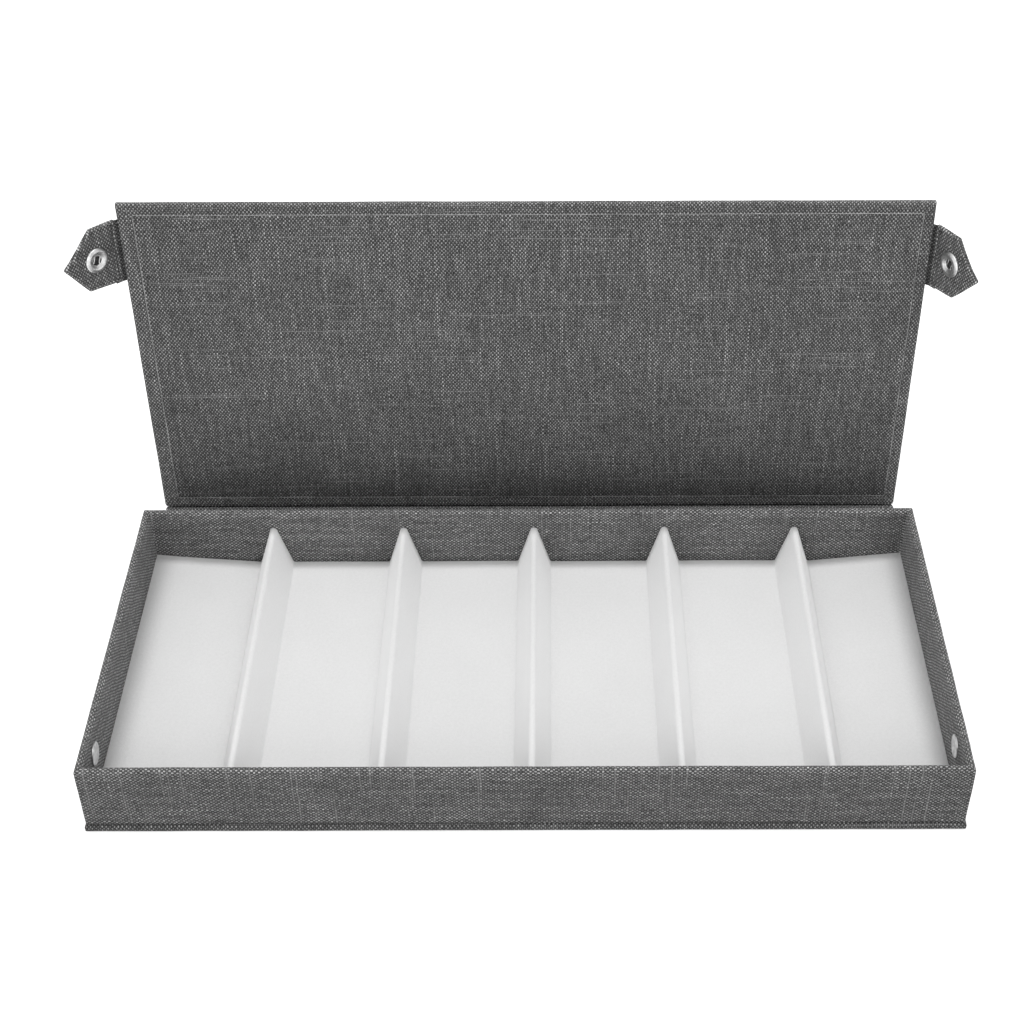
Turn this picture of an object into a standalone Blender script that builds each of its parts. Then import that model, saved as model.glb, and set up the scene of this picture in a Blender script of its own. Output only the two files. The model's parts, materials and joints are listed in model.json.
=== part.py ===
"""Multi glasses organizer: a book-style box of cloth-covered board, standing open.

The tray holds an insert with rounded ridges between the glasses. A spine panel lies flat
behind the tray, and the lid stands on the spine's rear edge. Two tabs on the lid's sides fold
down over the tray's side walls and snap onto studs. The frame is the case's: +X along its
length, -Y its front, +Z up, with the origin at the middle of the underside.
"""

import math

import bmesh
import bpy

OBJECT_NAME = "glasses_organizer"
MM = 0.001

# Driving sizes
CASE_LENGTH = 370 * MM  # tray, outside, along X
CASE_DEPTH = 168 * MM  # tray, outside, along Y
RIM_HEIGHT = 36.5 * MM  # from the surface that the box stands on
LID_LENGTH = 371.5 * MM
LID_DEPTH = 171.5 * MM
LID_LEAN = math.radians(2)  # how far the open lid leans back
SLOT_PITCH = 62.9 * MM  # from one ridge to the next
RIDGE_COUNT = 5
RIDGE_SHIFT = 2.7 * MM  # the insert's ridges sit this far right of the middle
RIDGE_HEIGHT = 21.7 * MM  # above the insert's floor

# Sheet materials
CLOTH = 0.5 * MM
BOARD = 2.0 * MM
CARD = 1.2 * MM
VELVET = 0.9 * MM
GAP = 0.1 * MM  # between pieces that are glued face to face
SLACK = 0.3 * MM  # between pieces that only meet
PANEL = BOARD + 2 * (CLOTH + GAP)  # a board wrapped in cloth
TURN_IN = 15 * MM  # cloth folded over a panel's inner face

# Base panel, hinges and spine
BASE_SIDE_LIP = 0.7 * MM  # the base stands proud of the tray's sides
BASE_FRONT_LIP = 1.0 * MM
HINGE_Z = CLOTH / 2  # both long hinges bend in the outer cloth
LOWER_HINGE_Y = CASE_DEPTH / 2 + 4.2 * MM
HINGE_SPACING = 39.7 * MM  # lower to upper hinge, a little more than the closed height
SPINE_START = 2.2 * MM  # from the lower hinge
SPINE_END = HINGE_SPACING - 2.4 * MM
LID_START = 4.2 * MM  # from the upper hinge
LINING_INSET = 5.0 * MM  # lining sheet inside the edge of a panel
LID_LINING_LEFT = 7.0 * MM
HINGE_END_INSET = 2.0 * MM  # hinge cloths stop short of the case's ends

# Snap tabs: per side, the bend from the lid's plane, the middle along the lid from its lower
# edge, and the snap's distance from the tab's hinge
TABS = {
    "left": {"side": -1, "bend": math.radians(46), "middle": 147.5 * MM, "snap": 12.4 * MM},
    "right": {"side": 1, "bend": math.radians(60), "middle": 145.0 * MM, "snap": 12.0 * MM},
}
TAB_HINGE_X = 186.8 * MM
TAB_HINGE_DEPTH = 0.7 * MM  # behind the lid's inner face
TAB_OFFSET = 1.5 * MM  # tab's middle plane, outside its hinge
TAB_CLOTH = 0.45 * MM
TAB_CORE = 0.9 * MM
TAB_THICKNESS = 2 * (TAB_CLOTH + GAP) + TAB_CORE
TAB_WIDTH = 32.2 * MM
TAB_ROOT = 1.6 * MM  # distances from the tab's hinge
TAB_SHOULDER = 15.8 * MM
TAB_TIP = 29.4 * MM
TAB_CORE_INSET = 0.5 * MM
TAB_CORNER_RADIUS = 1.5 * MM
TAB_TIP_RADIUS = 2.5 * MM
TAB_HOLE_RADIUS = 3.6 * MM

# Snap fasteners
ROUND_STEPS = 32
SHANK_RADIUS = 1.4 * MM
SHANK_HOLE_RADIUS = 1.7 * MM
STUD_FLANGE_RADIUS = 4.7 * MM
STUD_BALL_RADIUS = 1.9 * MM
STUD_HEIGHT = 3.0 * MM
STUD_CAP_RADIUS = 5.15 * MM
STUD_CAP_HEIGHT = 0.9 * MM
SOCKET_RADIUS = 6.1 * MM
SOCKET_HEIGHT = 1.3 * MM  # proud of the tab
RECESS_RADIUS = 2.6 * MM
SPRING_RADIUS = 2.25 * MM
SPRING_WIRE = 0.2 * MM
SNAP_CAP_RADIUS = 6.3 * MM
SNAP_CAP_HEIGHT = 1.5 * MM

# Insert
WALL = PANEL  # a tray wall is wrapped like a panel
INNER_LENGTH = CASE_LENGTH - 2 * WALL
INNER_DEPTH = CASE_DEPTH - 2 * WALL
CARD_Z = PANEL + GAP
FLOOR_Z = CARD_Z + CARD + GAP + VELVET
END_RISE = 4.8 * MM  # the end slots' floors climb to the side walls
FLANK_ANGLE = math.radians(73)
APEX_RADIUS = 1.7 * MM
FOOT_RADIUS = 1.1 * MM
ARC_STEPS = 6

COLOURS = {  # base colour, roughness, metallic
    "grey_linen": ((0.105, 0.105, 0.107), 0.92, 0.0),
    "greyboard": ((0.30, 0.28, 0.25), 0.95, 0.0),
    "white_card": ((0.78, 0.77, 0.74), 0.85, 0.0),
    "ridge_foam": ((0.86, 0.86, 0.84), 0.9, 0.0),
    "white_velvet": ((0.80, 0.80, 0.79), 0.95, 0.0),
    "snap_steel": ((0.62, 0.62, 0.63), 0.28, 1.0),
}


def clear_scene():
    for obj in list(bpy.data.objects):
        bpy.data.objects.remove(obj, do_unlink=True)


def new_collection(name):
    collection = bpy.data.collections.new(name)
    bpy.context.scene.collection.children.link(collection)
    return collection


def make_material(name):
    colour, roughness, metallic = COLOURS[name]
    material = bpy.data.materials.new(name)
    material.use_nodes = True
    shader = material.node_tree.nodes["Principled BSDF"]
    shader.inputs["Base Color"].default_value = (*colour, 1.0)
    shader.inputs["Roughness"].default_value = roughness
    shader.inputs["Metallic"].default_value = metallic
    return material


class Kit:
    """Places named pieces in the object's collection, and cutters in their own."""

    def __init__(self):
        self.parts = new_collection(OBJECT_NAME)
        self.cutters = new_collection("cutters")
        self.materials = {name: make_material(name) for name in COLOURS}

    def place(self, name, data, material, parent=None, location=(0, 0, 0), rotation=(0, 0, 0)):
        piece = bpy.data.objects.new(name, data)
        piece.location = location
        piece.rotation_euler = rotation
        piece.parent = parent
        data.materials.append(self.materials[material])
        self.parts.objects.link(piece)
        return piece

    def frame(self, name, parent, location, rotation):
        empty = bpy.data.objects.new(name, None)
        empty.parent = parent
        empty.location = location
        empty.rotation_euler = rotation
        self.parts.objects.link(empty)
        return empty

    def box(self, name, low, high, material, parent=None):
        """A box between two corners, in its parent's frame."""
        mesh, middle = box_mesh(name, low, high)
        return self.place(name, mesh, material, parent, location=middle)

    def cutter(self, name, mesh, parent=None, location=(0, 0, 0), rotation=(0, 0, 0)):
        tool = bpy.data.objects.new(name, mesh)
        tool.parent = parent
        tool.location = location
        tool.rotation_euler = rotation
        tool.hide_render = True
        tool.display_type = "WIRE"
        self.cutters.objects.link(tool)
        return tool

    def cut_box(self, piece, name, low, high, parent=None):
        mesh, middle = box_mesh(name, low, high)
        tool = self.cutter(name, mesh, parent, location=middle)
        subtract(piece, tool)
        return tool


def box_mesh(name, low, high):
    size = [b - a for a, b in zip(low, high)]
    middle = [(a + b) / 2 for a, b in zip(low, high)]
    shape = bmesh.new()
    bmesh.ops.create_cube(shape, size=1.0)
    bmesh.ops.scale(shape, vec=size, verts=shape.verts)
    return mesh_from(shape, name), middle


def cylinder_mesh(name, radius, length):
    shape = bmesh.new()
    bmesh.ops.create_cone(
        shape, cap_ends=True, segments=24, radius1=radius, radius2=radius, depth=length
    )
    return mesh_from(shape, name)


def mesh_from(shape, name):
    mesh = bpy.data.meshes.new(name)
    shape.to_mesh(mesh)
    shape.free()
    return mesh


def subtract(piece, tool):
    cut = piece.modifiers.new(tool.name, "BOOLEAN")
    cut.operation = "DIFFERENCE"
    cut.solver = "EXACT"
    cut.object = tool


def rounded_outline(corners):
    """A polygon's points with each corner (x, y, radius) turned into an arc."""
    points = []
    for index, (x, y, radius) in enumerate(corners):
        before = corners[index - 1]
        after = corners[(index + 1) % len(corners)]
        a = math.atan2(before[1] - y, before[0] - x)
        b = math.atan2(after[1] - y, after[0] - x)
        half = abs((b - a + math.pi) % (2 * math.pi) - math.pi) / 2
        reach = radius / math.sin(half)
        bisector = math.atan2(math.sin(a) + math.sin(b), math.cos(a) + math.cos(b))
        middle = (x + reach * math.cos(bisector), y + reach * math.sin(bisector))
        sweep = math.pi - 2 * half
        turn = 1 if math.sin(b - a) < 0 else -1
        for step in range(ARC_STEPS + 1):
            angle = bisector + math.pi + turn * sweep * (step / ARC_STEPS - 0.5)
            points.append((middle[0] + radius * math.cos(angle), middle[1] + radius * math.sin(angle)))
    return points


def circle_outline(x, y, radius, steps=24):
    turn = 2 * math.pi / steps
    return [
        (x + radius * math.cos(i * turn), y + radius * math.sin(i * turn)) for i in range(steps)
    ]


def flat_shape(name, outlines, thickness):
    """A plate in the XY plane, centred on it: the first outline's inside, less the others'."""
    curve = bpy.data.curves.new(name, "CURVE")
    curve.dimensions = "2D"
    curve.fill_mode = "BOTH"
    curve.extrude = thickness / 2
    for outline in outlines:
        spline = curve.splines.new("POLY")
        spline.points.add(len(outline) - 1)
        for point, (x, y) in zip(spline.points, outline):
            point.co = (x, y, 0, 1)
        spline.use_cyclic_u = True
    return curve


def turned_mesh(name, profile):
    """A profile of (radius, height), top to bottom, from the axis out and back to it."""
    shape = bmesh.new()
    verts = [shape.verts.new((radius, 0, height)) for radius, height in profile]
    for first, second in zip(verts, verts[1:]):
        shape.edges.new((first, second))
    return mesh_from(shape, name)


def turn(piece):
    screw = piece.modifiers.new("turned", "SCREW")
    screw.axis = "Z"
    screw.angle = 2 * math.pi
    screw.steps = ROUND_STEPS
    screw.render_steps = ROUND_STEPS
    screw.use_merge_vertices = True
    screw.merge_threshold = 0.00001
    screw.use_smooth_shade = True


def swept_sheet(name, profile, start, end, along):
    """An open strip: a profile of (across, up) swept along X or Y from start to end."""
    shape = bmesh.new()
    rows = []
    for place in (start, end):
        if along == "Y":
            rows.append([shape.verts.new((across, place, up)) for across, up in profile])
        else:
            rows.append([shape.verts.new((place, across, up)) for across, up in profile])
    near, far = rows
    for i in range(len(profile) - 1):
        corners = [near[i], near[i + 1], far[i + 1], far[i]]
        shape.faces.new(corners if along == "Y" else corners[::-1])
    return mesh_from(shape, name)


def thicken(piece, thickness, offset):
    solidify = piece.modifiers.new("thickness", "SOLIDIFY")
    solidify.thickness = thickness
    solidify.offset = offset
    solidify.use_even_offset = True


# Panels


def wrapped_panel(kit, name, low, high, parent=None):
    """A board in a cloth cover whose edges turn in over the panel's upper, inner face."""
    cover = kit.box(f"{name}_cover", low, high, "grey_linen", parent)
    inset = CLOTH + GAP
    board_low = [value + inset for value in low]
    board_high = [value - inset for value in high]
    cavity_low = [value + CLOTH for value in low]
    cavity_high = [value - CLOTH for value in high]
    kit.cut_box(cover, f"{name}_cavity", cavity_low, cavity_high, parent)
    turn_in = min(TURN_IN, 0.3 * (high[1] - low[1]))
    window_low = (low[0] + turn_in, low[1] + turn_in, high[2] - 2 * CLOTH)
    window_high = (high[0] - turn_in, high[1] - turn_in, high[2] + CLOTH)
    kit.cut_box(cover, f"{name}_window", window_low, window_high, parent)
    kit.box(f"{name}_board", board_low, board_high, "greyboard", parent)


def add_base(kit):
    half = CASE_LENGTH / 2 + BASE_SIDE_LIP
    low = (-half, -CASE_DEPTH / 2 - BASE_FRONT_LIP, 0)
    high = (half, CASE_DEPTH / 2, PANEL)
    wrapped_panel(kit, "base", low, high)


def add_spine(kit):
    hinge = kit.frame("spine_hinge", None, (0, LOWER_HINGE_Y, HINGE_Z), (0, 0, 0))
    half = LID_LENGTH / 2
    low = (-half, SPINE_START, -HINGE_Z)
    high = (half, SPINE_END, PANEL - HINGE_Z)
    wrapped_panel(kit, "spine", low, high, hinge)
    lining_low = (low[0] + LINING_INSET, low[1] + LINING_INSET, high[2] + GAP)
    lining_high = (high[0] - LINING_INSET, high[1] - LINING_INSET, high[2] + GAP + CLOTH)
    kit.box("spine_lining", lining_low, lining_high, "grey_linen", hinge)
    return hinge


def add_lid(kit, spine_hinge):
    """The lid lies along its hinge frame's +Y, with its inner face towards the frame's +Z."""
    stance = (math.pi / 2 - LID_LEAN, 0, 0)
    hinge = kit.frame("lid_hinge", spine_hinge, (0, HINGE_SPACING, 0), stance)
    half = LID_LENGTH / 2
    low = (-half, LID_START, -HINGE_Z)
    high = (half, LID_START + LID_DEPTH, PANEL - HINGE_Z)
    wrapped_panel(kit, "lid", low, high, hinge)
    lining_low = (low[0] + LID_LINING_LEFT, low[1] + LINING_INSET, high[2] + GAP)
    lining_high = (high[0] - LINING_INSET, high[1] - LINING_INSET, high[2] + GAP + CLOTH / 2)
    kit.box("lid_lining", lining_low, lining_high, "grey_linen", hinge)
    return hinge


def add_hinge_cloths(kit):
    """The outer cloth where it bridges the two long hinges."""
    half = LID_LENGTH / 2 - HINGE_END_INSET
    start = CASE_DEPTH / 2 + GAP
    end = LOWER_HINGE_Y + SPINE_START - GAP
    lower = [(start, CLOTH), (end, CLOTH)]
    mesh = swept_sheet("hinge_cloth_lower", lower, -half, half, "X")
    thicken(kit.place("hinge_cloth_lower", mesh, "grey_linen"), CLOTH - GAP, -1)

    bend = math.pi / 2 - LID_LEAN
    radius = 1.6 * MM
    reach = radius * math.tan(bend / 2)
    upper = [(SPINE_END - HINGE_SPACING + GAP, 0)]
    for step in range(ARC_STEPS + 1):
        angle = bend * step / ARC_STEPS
        upper.append((-reach + radius * math.sin(angle), radius * (1 - math.cos(angle))))
    run = LID_START - GAP
    upper.append((run * math.cos(bend), run * math.sin(bend)))
    mesh = swept_sheet("hinge_cloth_upper", upper, -half, half, "X")
    place = (0, LOWER_HINGE_Y + HINGE_SPACING, HINGE_Z)
    thicken(kit.place("hinge_cloth_upper", mesh, "grey_linen", location=place), CLOTH, 0)


# Tray


def snap_place(tab):
    """Where a tab's snap meets the tray when the box is closed: (y, z) on the side wall."""
    y = LOWER_HINGE_Y - LID_START - tab["middle"]
    lid_inner = HINGE_Z + HINGE_SPACING - (PANEL - HINGE_Z)
    return y, lid_inner + TAB_HINGE_DEPTH - tab["snap"]


def shank_hole(kit, piece, side, tab):
    y, z = snap_place(TABS[tab])
    mesh = cylinder_mesh("shank_hole", SHANK_HOLE_RADIUS, 4 * WALL)
    wall_x = side * (CASE_LENGTH - WALL) / 2
    tool = kit.cutter(f"{piece.name}_{tab}_hole", mesh, None, (wall_x, y, z), (0, math.pi / 2, 0))
    subtract(piece, tool)


def add_tray(kit):
    """Four wall boards in one cloth, which goes over the rim and down the inside."""
    half_x = CASE_LENGTH / 2
    half_y = CASE_DEPTH / 2
    bottom = PANEL + GAP
    inset = CLOTH + GAP
    top = RIM_HEIGHT - inset
    outer_x = half_x - inset
    outer_y = half_y - inset
    for name, side in (("front", -1), ("rear", 1)):
        near, far = sorted((side * outer_y, side * (outer_y - BOARD)))
        low = (-outer_x, near, bottom)
        kit.box(f"tray_{name}_board", low, (outer_x, far, top), "greyboard")
    for name, tab in TABS.items():
        near, far = sorted((tab["side"] * outer_x, tab["side"] * (outer_x - BOARD)))
        run = outer_y - BOARD - GAP
        board = kit.box(f"tray_{name}_board", (near, -run, bottom), (far, run, top), "greyboard")
        shank_hole(kit, board, tab["side"], name)

    cover = kit.box("tray_cover", (-half_x, -half_y, bottom), (half_x, half_y, RIM_HEIGHT), "grey_linen")
    inner_low = (-half_x + WALL, -half_y + WALL, bottom - WALL)
    inner_high = (half_x - WALL, half_y - WALL, RIM_HEIGHT + WALL)
    kit.cut_box(cover, "tray_inside", inner_low, inner_high)
    channel_low = (-half_x + CLOTH, -half_y + CLOTH, bottom - WALL)
    channel_high = (half_x - CLOTH, half_y - CLOTH, RIM_HEIGHT - CLOTH)
    channel = kit.cut_box(cover, "tray_channel", channel_low, channel_high)
    core_low = (inner_low[0] - CLOTH, inner_low[1] - CLOTH, bottom - 2 * WALL)
    core_high = (inner_high[0] + CLOTH, inner_high[1] + CLOTH, RIM_HEIGHT + WALL)
    kit.cut_box(channel, "tray_channel_core", core_low, core_high)
    for name, tab in TABS.items():
        shank_hole(kit, cover, tab["side"], name)


# Insert


def ridge_arc(centre_x, centre_z, radius, start, end):
    step = (end - start) / ARC_STEPS
    return [
        (centre_x + radius * math.cos(start + i * step), centre_z + radius * math.sin(start + i * step))
        for i in range(ARC_STEPS + 1)
    ]


def flank_x(height_below_centre, radius):
    """Half the ridge's width, on its straight flank, this far below the apex arc's centre."""
    return (radius + height_below_centre * math.cos(FLANK_ANGLE)) / math.sin(FLANK_ANGLE)


def ridge_profile(middle):
    """The velvet's upper surface over one ridge, from left to right."""
    centre_z = FLOOR_Z + RIDGE_HEIGHT - APEX_RADIUS
    foot_x = flank_x(centre_z - FLOOR_Z, APEX_RADIUS) + FOOT_RADIUS * math.tan(FLANK_ANGLE / 2)
    foot_z = FLOOR_Z + FOOT_RADIUS
    down = -math.pi / 2
    apex_end = math.pi / 2 - FLANK_ANGLE
    left_foot = ridge_arc(middle - foot_x, foot_z, FOOT_RADIUS, down, down + FLANK_ANGLE)
    apex = ridge_arc(middle, centre_z, APEX_RADIUS, math.pi - apex_end, apex_end)
    right_foot = ridge_arc(middle + foot_x, foot_z, FOOT_RADIUS, down - FLANK_ANGLE, down)
    return left_foot + apex + right_foot


def ridge_middles():
    first = RIDGE_SHIFT - SLOT_PITCH * (RIDGE_COUNT - 1) / 2
    return [first + i * SLOT_PITCH for i in range(RIDGE_COUNT)]


def add_insert(kit):
    """A card whose ends climb to the side walls, foam ridges on it, and velvet over both."""
    end_x = INNER_LENGTH / 2 - SLACK
    middles = ridge_middles()
    velvet = [(-end_x, FLOOR_Z + END_RISE)]
    for middle in middles:
        velvet += ridge_profile(middle)
    velvet.append((end_x, FLOOR_Z + END_RISE))
    half_y = INNER_DEPTH / 2 - SLACK
    mesh = swept_sheet("velvet_liner", velvet, -half_y, half_y, "Y")
    thicken(kit.place("velvet_liner", mesh, "white_velvet"), VELVET, -1)

    card_top = FLOOR_Z - VELVET - GAP
    fold_left = velvet[1][0]
    fold_right = velvet[-2][0]
    card = [(-end_x, card_top + END_RISE), (fold_left, card_top)]
    card += [(fold_right, card_top), (end_x, card_top + END_RISE)]
    mesh = swept_sheet("insert_card", card, -half_y, half_y, "Y")
    thicken(kit.place("insert_card", mesh, "white_card"), CARD, -1)

    radius = APEX_RADIUS - VELVET - GAP
    centre_z = FLOOR_Z + RIDGE_HEIGHT - APEX_RADIUS
    apex_end = math.pi / 2 - FLANK_ANGLE
    base_z = card_top + GAP
    base_x = flank_x(centre_z - base_z, radius) - GAP
    outline = [(base_x, base_z)]
    outline += ridge_arc(0, centre_z, radius, apex_end, math.pi - apex_end)
    outline.append((-base_x, base_z))
    upright = (math.pi / 2, 0, 0)
    for number, middle in enumerate(middles, 1):
        name = f"divider_core_{number}"
        curve = flat_shape(name, [outline], 2 * half_y)
        kit.place(name, curve, "ridge_foam", None, (middle, 0, 0), upright)


# Snap tabs


def tab_outline(side, inset):
    half = TAB_WIDTH / 2 - inset
    corner = TAB_CORNER_RADIUS
    root = side * (TAB_ROOT + inset)
    shoulder = side * TAB_SHOULDER
    tip = side * (TAB_TIP - 1.3 * inset)
    corners = [
        (root, -half, corner / 3),
        (shoulder, -half, corner),
        (tip, 0, TAB_TIP_RADIUS),
        (shoulder, half, corner),
        (root, half, corner / 3),
    ]
    return rounded_outline(corners)


def add_tab(kit, name, tab, lid_hinge):
    """A stiffened tab of two cloths, hinged along the lid's side edge, with its snap socket."""
    side = tab["side"]
    axis = (side * TAB_HINGE_X, LID_START + tab["middle"], PANEL - HINGE_Z - TAB_HINGE_DEPTH)
    hinge = kit.frame(f"tab_{name}_hinge", lid_hinge, axis, (0, -side * tab["bend"], 0))
    hole = circle_outline(side * tab["snap"], 0, TAB_HOLE_RADIUS)
    layers = (
        ("inner_cloth", TAB_CLOTH, 0, (TAB_THICKNESS - TAB_CLOTH) / 2, "grey_linen"),
        ("stiffener", TAB_CORE, TAB_CORE_INSET, 0, "white_card"),
        ("outer_cloth", TAB_CLOTH, 0, -(TAB_THICKNESS - TAB_CLOTH) / 2, "grey_linen"),
    )
    for layer, thickness, inset, height, material in layers:
        piece = f"tab_{name}_{layer}"
        curve = flat_shape(piece, [tab_outline(side, inset), hole], thickness)
        kit.place(piece, curve, material, hinge, (0, 0, height - TAB_OFFSET))

    face = TAB_THICKNESS / 2 - TAB_OFFSET
    place = (side * tab["snap"], 0, face)
    socket = turned_mesh("socket", socket_profile())
    turn(kit.place(f"snap_socket_{name}", socket, "snap_steel", hinge, place))
    add_socket_spring(kit, name, hinge, place)
    back = (place[0], 0, face - TAB_THICKNESS)
    cap = turned_mesh("cap", cap_profile())
    turn(kit.place(f"snap_cap_{name}", cap, "snap_steel", hinge, back))

    root = tab_root_profile(side, tab["bend"])
    half = TAB_WIDTH / 2 - TAB_CORE_INSET
    middle = LID_START + tab["middle"]
    mesh = swept_sheet(f"tab_hinge_{name}", root, middle - half, middle + half, "Y")
    thicken(kit.place(f"tab_hinge_{name}", mesh, "grey_linen", lid_hinge), CLOTH, 0)


def tab_root_profile(side, bend):
    """The cloth between the lid's side edge and the tab's root, in the lid's frame."""
    axis_z = PANEL - HINGE_Z - TAB_HINGE_DEPTH
    run = TAB_ROOT - GAP
    lid_edge = (LID_LENGTH / 2 + 2 * GAP, CLOTH)
    root_x = TAB_HINGE_X + run * math.cos(bend) + TAB_OFFSET * math.sin(bend)
    root_z = axis_z + run * math.sin(bend) - TAB_OFFSET * math.cos(bend)
    middle = ((lid_edge[0] + root_x) / 2, (lid_edge[1] + root_z) / 2 - CLOTH)
    points = [(side * x, z) for x, z in (lid_edge, middle, (root_x, root_z))]
    return points if side > 0 else points[::-1]


def socket_profile():
    """A ring proud of the tab, with a blind recess, and a barrel through the tab."""
    recess_floor = -0.7 * TAB_THICKNESS
    barrel_end = -TAB_THICKNESS + GAP
    barrel = TAB_HOLE_RADIUS - 2 * GAP
    return [
        (0, recess_floor),
        (RECESS_RADIUS, recess_floor),
        (RECESS_RADIUS, 0.55 * SOCKET_HEIGHT),
        (RECESS_RADIUS + 0.3 * MM, 0.7 * SOCKET_HEIGHT),
        (0.62 * SOCKET_RADIUS, 0.78 * SOCKET_HEIGHT),
        (0.72 * SOCKET_RADIUS, SOCKET_HEIGHT),
        (0.88 * SOCKET_RADIUS, 0.97 * SOCKET_HEIGHT),
        (SOCKET_RADIUS, 0.62 * SOCKET_HEIGHT),
        (SOCKET_RADIUS, GAP),
        (barrel, GAP),
        (barrel, barrel_end),
        (0, barrel_end),
    ]


def cap_profile():
    """The domed cap on the tab's outer face, which faces the frame's -Z."""
    rise = SNAP_CAP_HEIGHT
    return [
        (0, -GAP),
        (SNAP_CAP_RADIUS - 0.2 * MM, -GAP),
        (SNAP_CAP_RADIUS, -GAP - 0.3 * rise),
        (0.9 * SNAP_CAP_RADIUS, -GAP - 0.62 * rise),
        (0.6 * SNAP_CAP_RADIUS, -GAP - 0.9 * rise),
        (0, -GAP - rise),
    ]


def add_socket_spring(kit, name, hinge, place):
    """An open ring of wire in the socket's recess, which grips the stud's neck."""
    curve = bpy.data.curves.new(f"socket_spring_{name}", "CURVE")
    curve.dimensions = "3D"
    curve.bevel_depth = SPRING_WIRE
    curve.bevel_resolution = 2
    curve.use_fill_caps = True
    spline = curve.splines.new("POLY")
    steps = 20
    opening = math.radians(50)
    spline.points.add(steps)
    for step, point in enumerate(spline.points):
        angle = opening / 2 + (2 * math.pi - opening) * step / steps
        x = SPRING_RADIUS * math.cos(angle)
        y = SPRING_RADIUS * math.sin(angle)
        point.co = (x, y, 0, 1)
    kit.place(f"socket_spring_{name}", curve, "snap_steel", hinge, place)


def stud_profile():
    """A ball on a neck and flange outside the wall, and a shank through it."""
    flange = 0.6 * MM
    return [
        (0, STUD_HEIGHT),
        (0.7 * STUD_BALL_RADIUS, STUD_HEIGHT - 0.1 * MM),
        (STUD_BALL_RADIUS, STUD_HEIGHT - 0.7 * MM),
        (0.8 * STUD_BALL_RADIUS, STUD_HEIGHT - 1.4 * MM),
        (0.8 * STUD_BALL_RADIUS, flange + 0.3 * MM),
        (0.5 * STUD_FLANGE_RADIUS, flange + GAP),
        (0.9 * STUD_FLANGE_RADIUS, flange),
        (STUD_FLANGE_RADIUS, 0.5 * flange),
        (STUD_FLANGE_RADIUS, GAP),
        (SHANK_RADIUS, GAP),
        (SHANK_RADIUS, -WALL),
        (0, -WALL),
    ]


def stud_cap_profile():
    """The flat-domed cap inside the wall, facing the frame's -Z."""
    rise = STUD_CAP_HEIGHT
    return [
        (0, -GAP),
        (STUD_CAP_RADIUS - 0.2 * MM, -GAP),
        (STUD_CAP_RADIUS, -GAP - 0.35 * rise),
        (0.85 * STUD_CAP_RADIUS, -GAP - 0.8 * rise),
        (0.5 * STUD_CAP_RADIUS, -GAP - 0.97 * rise),
        (0, -GAP - rise),
    ]


def add_stud(kit, name, tab):
    y, z = snap_place(tab)
    side = tab["side"]
    outward = (0, side * math.pi / 2, 0)
    outer = (side * CASE_LENGTH / 2, y, z)
    stud = turned_mesh("stud", stud_profile())
    turn(kit.place(f"snap_stud_{name}", stud, "snap_steel", None, outer, outward))
    inner = (side * (CASE_LENGTH / 2 - WALL), y, z)
    cap = turned_mesh("stud_cap", stud_cap_profile())
    turn(kit.place(f"stud_cap_{name}", cap, "snap_steel", None, inner, outward))


def main():
    clear_scene()
    kit = Kit()
    add_base(kit)
    add_tray(kit)
    add_insert(kit)
    spine_hinge = add_spine(kit)
    lid_hinge = add_lid(kit, spine_hinge)
    add_hinge_cloths(kit)
    for name, tab in TABS.items():
        add_tab(kit, name, tab, lid_hinge)
        add_stud(kit, name, tab)


main()
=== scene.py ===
"""The looks of the multi glasses organizer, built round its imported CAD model.

Places come from the CAD nodes and joints in the frame. Lengths are in metres, in the CAD's frame:
+X along the box, -Y its front, +Z up.
"""

import json
import math

import bmesh
import bpy
from mathutils import Matrix, Vector, noise

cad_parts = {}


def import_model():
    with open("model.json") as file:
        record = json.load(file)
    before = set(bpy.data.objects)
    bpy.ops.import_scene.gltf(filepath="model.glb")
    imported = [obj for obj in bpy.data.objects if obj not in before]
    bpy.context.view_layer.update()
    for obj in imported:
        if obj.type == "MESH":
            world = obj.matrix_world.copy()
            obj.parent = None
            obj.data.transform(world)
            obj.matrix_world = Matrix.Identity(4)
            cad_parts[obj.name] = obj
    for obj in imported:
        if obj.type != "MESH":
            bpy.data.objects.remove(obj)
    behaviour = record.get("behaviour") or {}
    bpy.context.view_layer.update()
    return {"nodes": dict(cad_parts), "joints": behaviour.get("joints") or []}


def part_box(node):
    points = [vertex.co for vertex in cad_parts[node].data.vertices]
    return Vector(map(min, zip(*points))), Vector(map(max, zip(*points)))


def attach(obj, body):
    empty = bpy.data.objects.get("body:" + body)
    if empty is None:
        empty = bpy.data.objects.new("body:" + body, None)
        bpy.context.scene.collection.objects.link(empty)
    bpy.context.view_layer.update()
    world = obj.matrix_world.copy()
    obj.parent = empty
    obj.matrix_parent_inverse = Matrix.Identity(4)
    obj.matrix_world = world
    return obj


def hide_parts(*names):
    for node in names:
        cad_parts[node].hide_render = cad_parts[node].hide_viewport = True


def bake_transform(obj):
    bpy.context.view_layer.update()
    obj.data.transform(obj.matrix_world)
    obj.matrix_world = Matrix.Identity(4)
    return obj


MM = 0.001
WELD = 0.0001 * MM  # points closer than this are one

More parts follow.
